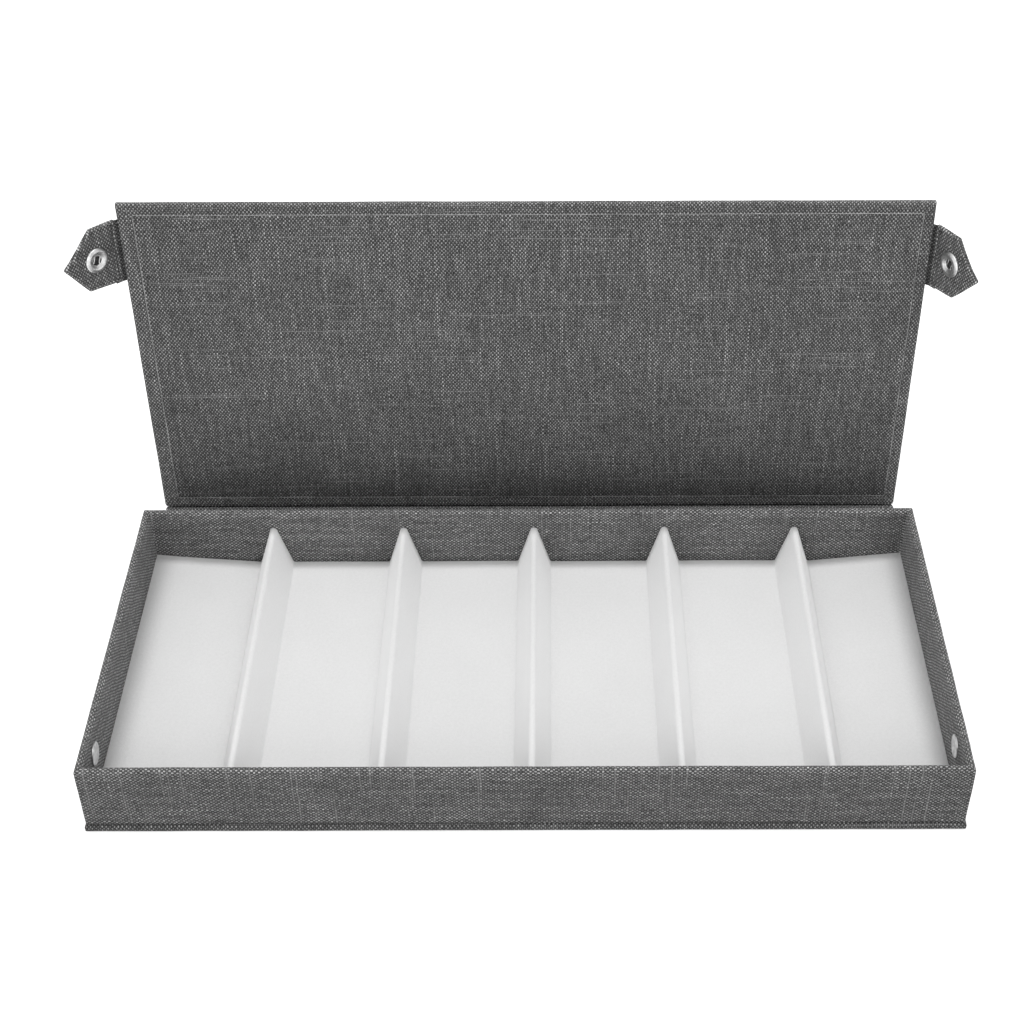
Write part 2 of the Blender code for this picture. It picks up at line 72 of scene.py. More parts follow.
# Boards and cloths
CLOTH = 0.5 * MM
HINGE_CLOTH = 0.4 * MM
ROOT_CLOTH = 0.35 * MM
TAB_CLOTH = 0.3 * MM
WALL = 3.2 * MM
LID_LEAN = math.radians(2)
LID_HALF = 185.75 * MM
TURN_IN = 15 * MM
SPINE_TURN_IN = 10 * MM
EDGE_RADIUS = 0.9 * MM  # of a board's edge under its cloth
CORNER_RADIUS = 0.5 * MM  # of a panel, seen from its face
LEAST_RADIUS = 0.2 * MM
RIM_RADIUS = 1.35 * MM
WALL_FOOT_RADIUS = 0.6 * MM
WALL_CORNER_RADIUS = 0.3 * MM
INNER_CORNER_RADIUS = 0.8 * MM
HINGE_END = 0.4 * MM  # from a hinge strip's end to the spine's
CELL = 7 * MM  # size of a cloth's mesh cells
CORNER_STEPS = 6
ARC_STEPS = 5

# How far glued cloth and cut foam stray from flat, and over what length
PANEL_RIPPLE = (0.13 * MM, 21 * MM)
LINING_RIPPLE = (0.10 * MM, 24 * MM)
TRAY_RIPPLE = (0.16 * MM, 17 * MM)
HINGE_RIPPLE = (0.12 * MM, 15 * MM)
TAB_BACK_RIPPLE = (0.12 * MM, 8 * MM)
TAB_FACE_RIPPLE = (0.14 * MM, 7 * MM)
FOAM_RIPPLE = (-0.08 * MM, 9 * MM)

# Wear and painted light: above 0 the cloth is painted paler, for rubbed wear and painted highlight;
# below 0 it is painted darker, as painted shade in a fold
# edges and the tray's rim are painted paler: rubbed wear and painted highlight
EDGE_WEAR_AND_HIGHLIGHT = 0.15
RIM_WEAR_AND_HIGHLIGHT = 0.2
INNER_RIM_WEAR_AND_HIGHLIGHT = 0.15
# painted highlight along a lining's turned-down cut edge
LINING_EDGE_HIGHLIGHT = 0.2
# painted shade along the base panel's edges, where the tray meets the base
BASE_EDGE_SHADE = 0.4
FOOT_SHADE = 0.8  # painted shade where the tray's walls meet the base
FOOT_SHADE_HEIGHT = 1.6 * MM
FOLD_PAINTED_SHADE = 0.6  # painted shade of a lining, at its fold
FOLD_PAINTED_SHADE_LENGTH = 44 * MM
REAR_SHADE = 0.14  # painted shade of the tray's rear wall
REAR_FOOT_SHADE = 0.30  # more painted shade, where the wall meets the velvet
REAR_SHADE_LENGTH = 7 * MM
ROOT_SHADE = 0.8  # painted shade of a tab's cloth, at its root
ROOT_SHADE_LENGTH = 1.3 * MM

# Insert
RIDGE_COUNT = 5
SLOT_PITCH = 62.9 * MM
RIDGE_SHIFT = 2.7 * MM
RIDGE_HEIGHT = 21.7 * MM
FLANK_ANGLE = math.radians(73)
APEX_RADIUS = 1.7 * MM
FOOT_RADIUS = 1.1 * MM
VELVET = 0.9 * MM
END_RISE = 4.8 * MM
WALL_PAINTED_LIGHT_LENGTH = 13 * MM  # how far from the walls the velvet is painted whiter: painted light against the walls' shade
VELVET_WAVE = 0.30 * MM  # on the flat
VELVET_LEAST_WAVE = 0.12 * MM
VELVET_WAVE_LENGTH = 38 * MM
FOAM_CROWN = 0.7 * MM
FOAM_CUT = 0.3 * MM  # height of the cut along a ridge's foot
FOAM_CUT_WIDTH = 0.4 * MM
FOAM_CELLS = 20

# Tabs. corners is the outline as (distance from the hinge, place along it) in millimetres, from
# the foot of the root; curve is the cloth's turn towards its inner face, in degrees, at a distance
TABS = {
    "left": {
        "side": -1,
        "bend": math.radians(46),
        "snap": 12.4 * MM,
        "corners": ((0.15, -16.3), (18.2, -14.2), (29.8, 0.8), (13.6, 15.9), (0.15, 15.7)),
        "curve": ((0, -4), (6, 1), (12.4, 3), (20, 3), (30, -10)),
    },
    "right": {
        "side": 1,
        "bend": math.radians(60),
        "snap": 12.0 * MM,
        "corners": ((0.15, -17.4), (16.0, -15.8), (29.4, -2.6), (15.4, 14.9), (0.15, 14.6)),
        "curve": ((0, -6), (6, 2), (12, 3), (19, -4), (29.4, -34)),
    },
}
TAB_RADII = (0.3 * MM, 0.9 * MM, 0.8 * MM, 0.9 * MM, 0.3 * MM)  # of the outline's corners
LEAST_TAB_RADIUS = 0.12 * MM
TAB_FACE = -0.5 * MM  # the tab's inner face, from its hinge
TAB_THICKNESS = 2.0 * MM
TAB_BORDER = 1.6 * MM  # outer cloth turned over the inner face
TAB_HOLE = 3.4 * MM
ROOT_INSET = 0.2 * MM  # of the root strip, from the tab's sides

# Snaps. RING, CUP and BALL are profiles of (radius, height) in millimetres, from the cloth's
# face; the caps' are in shares of their radius and rise
RING = (
    (2.35, -1.5), (2.35, 0.25), (2.42, 0.48), (2.6, 0.64), (2.85, 0.72), (3.1, 0.82), (3.4, 1.0),
    (3.8, 1.18), (4.25, 1.28), (4.7, 1.26), (5.15, 1.14), (5.55, 0.94), (5.85, 0.68),
    (6.04, 0.42), (6.1, 0.2), (6.04, 0.02), (5.8, -0.02), (3.3, -0.02), (3.2, -0.2),
    (3.2, -1.5), (2.35, -1.5),
)
CUP = (
    (0.0, -1.2), (1.9, -1.2), (2.2, -1.1), (2.36, -0.85), (2.36, -0.1), (2.5, -0.1), (2.5, -1.6),
    (0.0, -1.6),
)
BALL = (
    (0.0, 2.75), (0.45, 2.8), (0.75, 2.95), (1.05, 3.0), (1.4, 2.92), (1.72, 2.65), (1.88, 2.3),
    (1.84, 1.95), (1.66, 1.6), (1.52, 1.3), (1.5, 1.05), (1.62, 0.85), (1.95, 0.74), (2.6, 0.7),
    (3.3, 0.68), (3.9, 0.62), (4.35, 0.52), (4.62, 0.36), (4.7, 0.2), (4.62, 0.06), (4.4, 0.0),
    (1.4, 0.0), (1.4, -3.2), (0.0, -3.2),
)
DOMED_CAP = (
    (0.94, 0.02), (0.985, 0.1), (1.0, 0.28), (0.985, 0.46), (0.94, 0.58), (0.88, 0.62),
    (0.84, 0.585), (0.80, 0.62), (0.68, 0.78), (0.5, 0.90), (0.3, 0.97), (0.12, 1.0), (0.0, 1.0),
)
INNER_CAP = (
    (0.95, 0.02), (0.99, 0.15), (1.0, 0.35), (0.98, 0.62), (0.92, 0.82), (0.82, 0.93),
    (0.6, 0.99), (0.3, 1.0), (0.2, 0.98), (0.15, 0.75), (0.08, 0.6), (0.0, 0.57),
)
DOMED_CAP_SIZE = (6.3 * MM, 1.6 * MM)  # radius and rise
INNER_CAP_SIZE = (5.15 * MM, 0.9 * MM)
SPRING_ARM = 1.75 * MM  # from the middle to each arm
SPRING_REACH = 2.1 * MM
SPRING_WIRE = 0.28 * MM
SPRING_TURN = math.radians(70)
THREAD = 0.15 * MM

# Linen
COLUMN_PITCH = 0.85 * MM
ROW_PITCH = 1.05 * MM
YARN_DRIFT = 1.2 * MM  # how far yarns stray from straight
LIGHT_YARN = 0.40
DARK_YARN = 0.10
SLUB_LENGTH = 20 * MM
FLECK_LENGTH = 2.4 * MM
PALE_LENGTH = 60 * MM

# Board, card and foam: name, dark and light colour, fleck scale, relief, roughness
FIBRES = (
    ("greyboard_fibre", (0.24, 0.22, 0.20), (0.36, 0.34, 0.31), 900.0, 0.10 * MM, 0.93),
    ("white_card_fibre", (0.72, 0.71, 0.68), (0.82, 0.81, 0.78), 1400.0, 0.03 * MM, 0.85),
    ("ridge_foam_cells", (0.78, 0.78, 0.76), (0.88, 0.88, 0.86), 1100.0, 0.30 * MM, 0.92),
)

# Camera, fitted to the box's corners
CAMERA_PLACE = (0.01143, -0.57651, 0.58684)
CAMERA_PITCH = math.radians(39.935)
CAMERA_ROLL = math.radians(-0.163)
CAMERA_LENS = 62.83
CAMERA_SHIFT = -0.0390
SENSOR_WIDTH = 36.0  # millimetres

# Light. The world's strength is the sum of two ramps over a direction's Z: start, end, and the
# value at each. It is 0.16 below the floor, 1.0 at the horizon and 0.76 overhead
LIGHT_BY_HEIGHT = ((-0.06, -0.015, 0.16, 1.0), (0.08, 0.5, 0.0, -0.24))
AREA_LIGHTS = (  # name, place, target, size, power
    ("overhead", (0.0, -0.2, 1.7), (0, 0.02, 0), (1.6, 1.2), 9.0),
    ("front", (0.0, -1.7, 0.9), (0, 0.05, 0.08), (1.8, 0.8), 7.0),
)
FLOOR_REACH = 60.0
FLOOR_LEVEL = -0.2 * MM
FLOOR_GLOW = 0.45


# Mesh building


def put(name, data):
    made = bpy.data.objects.new(name, data)
    bpy.context.scene.collection.objects.link(made)
    return made


class Surface:
    """A mesh in the making, with weave coordinates in metres and a value for wear and painted light
    at each point.
    """

    def __init__(self):
        self.shape = bmesh.new()
        self.weave = self.shape.loops.layers.uv.new("weave")
        self.wear_and_painted_light = self.shape.verts.layers.float.new("wear_and_painted_light")

    def point(self, place, wear_and_painted_light=0.0):
        vert = self.shape.verts.new(place)
        vert[self.wear_and_painted_light] = wear_and_painted_light
        return vert

    def face(self, points, coords):
        made = self.shape.faces.new(points)
        made.smooth = True
        for loop, place in zip(made.loops, coords):
            loop[self.weave].uv = place

    def join(self, first, second, closed=False, flip=False):
        """Faces between two rows of (point, weave coordinates)."""
        count = len(first)
        for i in range(count if closed else count - 1):
            k = (i + 1) % count
            corners = [first[i], first[k], second[k], second[i]]
            if flip:
                corners.reverse()
            self.face([vert for vert, _ in corners], [spot for _, spot in corners])

    def weld(self):
        bmesh.ops.remove_doubles(self.shape, verts=self.shape.verts, dist=WELD)

    def ripple(self, ripple, seed):
        """Moves every point along its normal by smooth noise, as glued cloth is never quite flat."""
        height, length = ripple
        self.shape.normal_update()
        for vert in self.shape.verts:
            place = vert.co / length + Vector((seed, 0, 0))
            vert.co += vert.normal * height * noise.noise(place)

    def fade(self, line, depth, length):
        """Paints shade into the cloth towards a line of constant Y, where the fold keeps light off.
        """
        for vert in self.shape.verts:
            vert[self.wear_and_painted_light] -= depth * math.exp(-abs(vert.co.y - line) / length)

    def object(self, name, material, matrix=None):
        self.weld()
        if matrix is not None:
            bmesh.ops.transform(self.shape, matrix=matrix, verts=self.shape.verts)
        mesh = bpy.data.meshes.new(name)
        self.shape.to_mesh(mesh)
        self.shape.free()
        mesh.materials.append(material)
        return put(name, mesh)


def thicken(piece, thickness, offset=-1):
    solid = piece.modifiers.new("thickness", "SOLIDIFY")
    solid.thickness = thickness
    solid.offset = offset
    solid.use_even_offset = True
    return piece


def ring_points(low, high, inset, radius, counts):
    """Points round a rectangle with rounded corners, anticlockwise from its front left."""
    xs = (low[0] + inset, high[0] - inset)
    ys = (low[1] + inset, high[1] - inset)
    corners = [Vector((xs[i], ys[j])) for i, j in ((0, 0), (1, 0), (1, 1), (0, 1))]
    points = []
    for side, start in enumerate(corners):
        end = corners[(side + 1) % 4]
        run = (end - start).normalized()
        outward = Vector((run.y, -run.x))
        first = start + run * radius
        last = end - run * radius
        count = counts[side % 2]
        points += [first.lerp(last, step / count) for step in range(count + 1)]
        centre = last - outward * radius
        for step in range(1, CORNER_STEPS):
            angle = math.pi / 2 * step / CORNER_STEPS
            points.append(centre + radius * (run * math.sin(angle) + outward * math.cos(angle)))
    return points


def ring_sides(counts):
    """The side that each stretch between two points of a ring belongs to."""
    sides = []
    for side in range(4):
        sides += [side] * (counts[side % 2] + CORNER_STEPS // 2)
        sides += [(side + 1) % 4] * (CORNER_STEPS - CORNER_STEPS // 2)
    return sides


def run_lengths(points):
    """How far along a run each of its points is."""
    lengths = [0.0]
    for before, after in zip(points, points[1:]):
        lengths.append(lengths[-1] + math.dist(before[:2], after[:2]))
    return lengths


def rings(surface, low, high, profile, face=None, upright=False):
    """Joins rings round a box. profile is (inset, height, corner radius, wear and painted light) for
    each ring.

    face is "down" to fill the first ring, "up" to fill the last, or None. Weave coordinates
    run on from the filled face over the edges; with upright they follow the rings instead.
    """
    counts = [max(2, round((high[axis] - low[axis]) / CELL)) for axis in (0, 1)]
    sides = ring_sides(counts)
    middle = [(low[axis] + high[axis]) / 2 for axis in (0, 1)]
    half = [(high[axis] - low[axis]) / 2 for axis in (0, 1)]
    lengths = run_lengths(profile)
    whole = -1 if face == "up" else 0
    made = []
    for inset, height, radius, wear_and_painted_light in profile:
        places = ring_points(low, high, inset, radius, counts)
        made.append([surface.point((p.x, p.y, height), wear_and_painted_light) for p in places])

    def coords(side, vert, index):
        reach = abs(lengths[index] - lengths[whole])
        across = side % 2 == 0
        if upright:
            return reach, vert.co.x if across else vert.co.y
        axis = 1 if across else 0
        out = half[axis] - profile[whole][0] + reach
        sign = 1 if side in (1, 2) else -1
        place = middle[axis] + sign * out
        return (vert.co.x, place) if across else (place, vert.co.y)

    total = len(sides)
    for index in range(len(profile) - 1):
        lower, upper = made[index], made[index + 1]
        for j, side in enumerate(sides):
            k = (j + 1) % total
            verts = (lower[j], lower[k], upper[k], upper[j])
            levels = (index, index, index + 1, index + 1)
            surface.face(verts, [coords(side, v, n) for v, n in zip(verts, levels)])
    if face is not None:
        fill(surface, low, high, profile[whole], counts, face == "up")
    surface.weld()


def fill(surface, low, high, ring, counts, up):
    """A grid of faces inside a ring whose corners are square."""
    inset, height, _, wear_and_painted_light = ring
    rows = []
    for j in range(counts[1] + 1):
        y = low[1] + inset + (high[1] - low[1] - 2 * inset) * j / counts[1]
        row = []
        for i in range(counts[0] + 1):
            x = low[0] + inset + (high[0] - low[0] - 2 * inset) * i / counts[0]
            row.append((surface.point((x, y, height), wear_and_painted_light), (x, y)))
        rows.append(row)
    for near, far in zip(rows, rows[1:]):
        surface.join(near, far, flip=not up)


def arc(centre, radius, start, end, steps=ARC_STEPS):
    """Points (across, up) on an arc, with angles in radians."""
    points = []
    for step in range(steps + 1):
        angle = start + (end - start) * step / steps
        points.append((centre[0] + radius * math.cos(angle), centre[1] + radius * math.sin(angle)))
    return points


def between(start, end, count):
    """Evenly spaced points from start to end, both left out."""
    return [
        tuple(a + (b - a) * step / count for a, b in zip(start, end)) for step in range(1, count)
    ]


def swept(surface, profile, low, high, count, along, wear_and_painted_light=0.0):
    """A strip: a profile of (across, up) swept along axis X or Y. Its length runs with the sweep."""
    lengths = run_lengths(profile)
    rows = []
    for step in range(count + 1):
        place = low + (high - low) * step / count
        row = []
        for (across, up), length in zip(profile, lengths):
            spot = (place, across, up) if along == "X" else (across, place, up)
            row.append((surface.point(spot, wear_and_painted_light), (place, length)))
        rows.append(row)
    for near, far in zip(rows, rows[1:]):
        surface.join(near, far, flip=along == "X")
    return lengths[-1]


def turned(name, profile, material, matrix, steps=56):
    """A profile of (radius, height), top to bottom, turned about the frame's Z."""
    surface = Surface()
    loops = []
    for radius, height in profile:
        loop = []
        for step in range(steps):
            angle = 2 * math.pi * step / steps
            x, y = radius * math.cos(angle), radius * math.sin(angle)
            loop.append((surface.point((x, y, height)), (x, y)))
        loops.append(loop)
    for upper, lower in zip(loops, loops[1:]):
        surface.join(upper, lower, closed=True, flip=True)
    return surface.object(name, material, matrix)


# Materials


class Nodes:
    """Adds nodes to a material or a world, one call each."""

    def __init__(self, owner, shader="Principled BSDF"):
        owner.use_nodes = True
        self.owner = owner
        self.tree = owner.node_tree
        self.shader = self.tree.nodes[shader]

    def add(self, kind, inputs=None, **settings):
        node = self.tree.nodes.new(kind)
        for key, value in settings.items():
            setattr(node, key, value)
        for socket, value in (inputs or {}).items():
            self.set(node, socket, value)
        return node

    def set(self, node, socket, value):
        if isinstance(value, bpy.types.NodeSocket):
            self.tree.links.new(value, node.inputs[socket])
        else:
            node.inputs[socket].default_value = value

    def shade(self, inputs):
        """Sets the shader's own sockets."""
        for socket, value in inputs.items():
            self.set(self.shader, socket, value)

    def math(self, operation, *values):
        node = self.add("ShaderNodeMath", dict(enumerate(values)), operation=operation)
        return node.outputs[0]

    def vector(self, x, y, z=0.0):
        return self.add("ShaderNodeCombineXYZ", {"X": x, "Y": y, "Z": z}).outputs[0]

    def noise(self, vector, scale, detail=2.0, roughness=0.5):
        inputs = {"Vector": vector, "Scale": scale, "Detail": detail, "Roughness": roughness}
        return self.add("ShaderNodeTexNoise", inputs).outputs["Fac"]

    def ranged(self, value, low, high, to_low, to_high):
        inputs = {0: value, 1: low, 2: high, 3: to_low, 4: to_high}
        return self.add("ShaderNodeMapRange", inputs, clamp=True).outputs[0]

    def mixed(self, share, first, second):
        """A number between two, by share."""
        inputs = {0: share, 2: first, 3: second}
        return self.add("ShaderNodeMix", inputs, data_type="FLOAT").outputs[0]

    def coloured(self, share, first, second):
        inputs = {0: share, 6: first, 7: second}
        return self.add("ShaderNodeMix", inputs, data_type="RGBA").outputs[2]

    def object_place(self):
        return self.add("ShaderNodeTexCoord").outputs["Object"]

    def bump(self, height, distance, strength=1.0):
        inputs = {"Height": height, "Distance": distance, "Strength": strength}
        self.shade({"Normal": self.add("ShaderNodeBump", inputs).outputs[0]})


def yarn_tone(nodes, number, along, seed, spread, paler):
    """Tone along each numbered yarn: slubs, flecks, and now and then a paler stretch."""

    def stretch(spacing, length, shift, detail):
        across = nodes.math("MULTIPLY", number, spacing)
        place = nodes.vector(across, nodes.math("DIVIDE", along, length), seed + shift)
        return nodes.noise(place, 1.0, detail, 0.6)

    slub = stretch(7.31, SLUB_LENGTH, 0.0, 3.0)
    slub = nodes.ranged(slub, 0.25, 0.75, 1 - spread, 1 + spread)
    fleck = nodes.ranged(stretch(3.17, FLECK_LENGTH, 2.0, 2.0), 0.25, 0.75, 0.40, 1.60)
    pale = nodes.ranged(stretch(5.77, PALE_LENGTH, 5.0, 0.0), 0.66, 0.74, 0.0, paler)
    return nodes.math("ADD", nodes.math("MULTIPLY", slub, fleck), pale)


def yarn(nodes, place, pitch):
    """The number of the yarn at a place, and its height: 0 at its sides, 1 in its middle."""
    count = nodes.math("DIVIDE", place, pitch)
    across = nodes.math("MULTIPLY", nodes.math("FRACT", count), math.pi)
    return nodes.math("FLOOR", count), nodes.math("SINE", across)


def crossing(nodes, over, under):
    """A yarn's height, which bulges where it passes over another."""
    return nodes.math("MULTIPLY", over, nodes.math("MULTIPLY_ADD", under, 0.55, 0.45))


def linen_material():
    """Plain weave of slubby light and dark grey yarns, with painted shade between the yarns; painted
    paler along edges for wear and painted highlight, and darker in folds as painted shade.
    """
    nodes = Nodes(bpy.data.materials.new("grey_linen_weave"))
    place = nodes.add("ShaderNodeUVMap", uv_map="weave").outputs[0]
    x, y, _ = nodes.add("ShaderNodeSeparateXYZ", {0: place}).outputs
    drift = nodes.noise(place, 60.0, 5.0, 0.75)
    other = nodes.noise(nodes.vector(y, x, 3.0), 60.0, 5.0, 0.75)
    u = nodes.math("ADD", x, nodes.ranged(drift, 0, 1, -YARN_DRIFT, YARN_DRIFT))
    v = nodes.math("ADD", y, nodes.ranged(other, 0, 1, -YARN_DRIFT, YARN_DRIFT))
    column, column_round = yarn(nodes, u, COLUMN_PITCH)
    row, row_round = yarn(nodes, v, ROW_PITCH)
    row_over = nodes.math("FLOORED_MODULO", nodes.math("ADD", column, row), 2.0)
    column_height = crossing(nodes, column_round, row_round)
    row_height = crossing(nodes, row_round, column_round)
    height = nodes.mixed(row_over, column_height, row_height)

    light = nodes.math("MULTIPLY", yarn_tone(nodes, column, v, 0.0, 0.55, 0.45), LIGHT_YARN)
    dark = nodes.math("MULTIPLY", yarn_tone(nodes, row, u, 9.0, 0.5, 1.3), DARK_YARN)
    fibre = nodes.noise(place, 3200.0, 3.0, 0.7)
    fibre_tone = nodes.ranged(fibre, 0.3, 0.7, 0.8, 1.2)
    tone = nodes.math("MULTIPLY", nodes.mixed(row_over, light, dark), fibre_tone)
    # painted shade in the hollows between yarns
    painted_crevice_shade = nodes.ranged(height, 0.05, 0.80, 0.08, 1.0)
    patch = nodes.ranged(nodes.noise(place, 22.0, 2.0), 0.3, 0.7, 0.92, 1.08)
    # wear and painted light: paler for rubbed wear and painted highlight, darker for painted shade
    wear_and_painted_light = nodes.add("ShaderNodeAttribute", attribute_name="wear_and_painted_light").outputs["Fac"]
    lift = nodes.math("MULTIPLY_ADD", wear_and_painted_light, 0.7, patch)
    nodes.shade({
        "Base Color": nodes.math("MULTIPLY", nodes.math("MULTIPLY", tone, painted_crevice_shade), lift),
        "Roughness": nodes.ranged(fibre, 0.2, 0.8, 0.78, 0.95),
        "Specular IOR Level": 0.25,
        "Sheen Weight": 0.10,
        "Sheen Roughness": 0.5,
    })
    nodes.bump(nodes.math("MULTIPLY_ADD", fibre, 0.18, height), 0.28 * MM, 0.8)
    return nodes.owner


def thread_material():
    """A pale twisted thread, soiled here and there."""
    nodes = Nodes(bpy.data.materials.new("pale_thread"))
    place = nodes.object_place()
    twist = nodes.noise(place, 1900.0, 2.0)
    soil = nodes.ranged(nodes.noise(place, 90.0, 4.0, 0.7), 0.35, 0.65, 0.22, 0.62)
    nodes.shade({
        "Base Color": nodes.math("MULTIPLY", soil, nodes.ranged(twist, 0.3, 0.7, 0.7, 1.2)),
        "Roughness": nodes.ranged(twist, 0.2, 0.8, 0.8, 0.95),
    })
    nodes.bump(twist, 0.05 * MM, 0.6)
    return nodes.owner


def velvet_material():
    """Short white pile, brushed unevenly, and painted whiter near the walls and on steep flanks:
    painted light.
    """
    nodes = Nodes(bpy.data.materials.new("white_velvet_pile"))
    place = nodes.add("ShaderNodeUVMap", uv_map="weave").outputs[0]
    nap = nodes.noise(place, 26.0, 3.0, 0.55)
    pile = nodes.noise(place, 2600.0, 2.0, 0.7)
    tuft = nodes.noise(place, 700.0, 2.0, 0.6)
    shade = nodes.ranged(nap, 0.3, 0.7, 0.81, 0.83)
    shade = nodes.math("MULTIPLY", shade, nodes.ranged(tuft, 0.3, 0.7, 0.975, 1.02))
    shade = nodes.math("MULTIPLY", shade, nodes.ranged(pile, 0.25, 0.75, 0.95, 1.04))
    wear_and_painted_light = nodes.add("ShaderNodeAttribute", attribute_name="wear_and_painted_light").outputs["Fac"]
    # painted light lifts the white
    painted_light_lift = nodes.math("MULTIPLY_ADD", wear_and_painted_light, -0.14, 1.0)
    nodes.shade({
        "Base Color": nodes.math("MULTIPLY", shade, painted_light_lift),
        "Roughness": nodes.ranged(nap, 0.2, 0.8, 0.88, 0.98),
        "Specular IOR Level": 0.2,
        "Sheen Weight": 0.9,
        "Sheen Roughness": 0.4,
    })
    nodes.bump(nodes.math("ADD", pile, tuft), 0.12 * MM, 0.7)
    return nodes.owner


def fibre_material(name, dark, light, scale, depth, roughness):
    """Pressed fibre: flecks on two scales, for board, card and foam."""
    nodes = Nodes(bpy.data.materials.new(name))
    place = nodes.object_place()
    fleck = nodes.noise(place, scale, 4.0, 0.7)
    cloud = nodes.math("MULTIPLY", nodes.noise(place, scale / 12, 2.0), 0.3)
    share = nodes.ranged(nodes.math("MULTIPLY_ADD", fleck, 0.7, cloud), 0.3, 0.7, 0, 1)
    nodes.shade({
        "Base Color": nodes.coloured(share, (*dark, 1), (*light, 1)),
        "Roughness": nodes.ranged(fleck, 0.2, 0.8, roughness - 0.06, roughness + 0.04),
    })
    nodes.bump(fleck, depth, 0.6)
    return nodes.owner


def steel_material(name, low, high, rough):
    """Plated steel, clouded, with handling scratches."""
    nodes = Nodes(bpy.data.materials.new(name))
    place = nodes.object_place()
    cloud = nodes.noise(place, 420.0, 3.0, 0.6)
    scratch = nodes.noise(place, 2400.0, 4.0, 0.7)
    nodes.shade({
        "Base Color": nodes.ranged(cloud, 0.3, 0.7, low, high),
        "Metallic": 1.0,
        "Roughness": nodes.ranged(scratch, 0.3, 0.7, rough, rough + 0.14),
    })
    nodes.bump(nodes.math("MULTIPLY_ADD", scratch, 0.3, cloud), 0.10 * MM, 0.35)
    return nodes.owner


# Frames


def local_box(frame, node, matrix):
    """A CAD node's lowest and highest corners in a frame of its own."""
    inverse = matrix.inverted()
    places = [inverse @ vert.co for vert in frame["nodes"][node].data.vertices]
    return [Vector([pick(p[axis] for p in places) for axis in range(3)]) for pick in (min, max)]


def joint_frames(frame):
    """The frame of each moving body at rest: X along the box, Z out of its inner face."""
    places = {j["name"]: Vector(j["pos_m"]) for j in frame["joints"]}
    stand = Matrix.Rotation(math.pi / 2 - LID_LEAN, 4, "X")
    made = {
        "case": Matrix.Identity(4),
        "spine": Matrix.Translation(places["spine_fold"]),
        "lid": Matrix.Translation(places["lid_fold"]) @ stand,
    }
    for name, tab in TABS.items():
        swing = Matrix.Rotation(-tab["side"] * tab["bend"], 4, "Y")
        made[f"tab_{name}"] = Matrix.Translation(places[f"tab_{name}_fold"]) @ stand @ swing
    return made


# Pieces


def panel_cloth(name, low, high, turn_in, material, matrix, seed, edge_wear_and_light):
    """The cloth round one panel: its outer face, its edges, and the turn-in on its inner face."""
    radius = EDGE_RADIUS
    lower = arc((radius, low.z + radius), radius, 1.5 * math.pi, math.pi)[1:]
    upper = arc((radius, high.z - radius), radius, math.pi, 0.5 * math.pi)
    profile = [(4 * MM, low.z, 0.0, 0.0), (radius, low.z, LEAST_RADIUS, 0.0)]
    # edge rings painted paler for rubbed wear and painted highlight; below 0, painted shade
    for points, wear_and_painted_light in ((lower, min(edge_wear_and_light, 0)), (upper, edge_wear_and_light)):
        for inset, height in points:
            profile.append((inset, height, max(CORNER_RADIUS - inset, LEAST_RADIUS), wear_and_painted_light))
    for inset in (2 * radius, turn_in / 2, turn_in):
        profile.append((inset, high.z, 0.0, 0.0))
    surface = Surface()
    rings(surface, low, high, profile, face="down")
    surface.ripple(PANEL_RIPPLE, seed)
    piece = thicken(surface.object(name, material, matrix), CLOTH)
    spread = 2 * (turn_in + high.z - low.z)
    size = (high.x - low.x + spread, high.y - low.y + spread)
    return piece, size


def lining_sheet(name, low, high, material, matrix, seed):
    """A sheet glued flat inside a panel, with its cut edges turned down."""
    thickness = high.z - low.z
    bevel = 0.8 * thickness
    profile = [
        (0.0, low.z, 0.5 * MM, 0.0),
        (0.0, high.z - bevel, 0.5 * MM, 0.0),
        # the cut edge's crest is painted paler: painted highlight
        (0.6 * bevel, high.z, 0.4 * MM, LINING_EDGE_HIGHLIGHT),
        (0.8 * MM, high.z + 0.05 * MM, 0.0, 0.0),
        (5 * MM, high.z, 0.0, 0.0),
    ]
    surface = Surface()
    rings(surface, low, high, profile, face="up")
    surface.ripple(LINING_RIPPLE, seed)
    # painted shade towards the lining's fold
    surface.fade(low.y, FOLD_PAINTED_SHADE, FOLD_PAINTED_SHADE_LENGTH)
    return surface.object(name, material, matrix), (high.x - low.x, high.y - low.y)


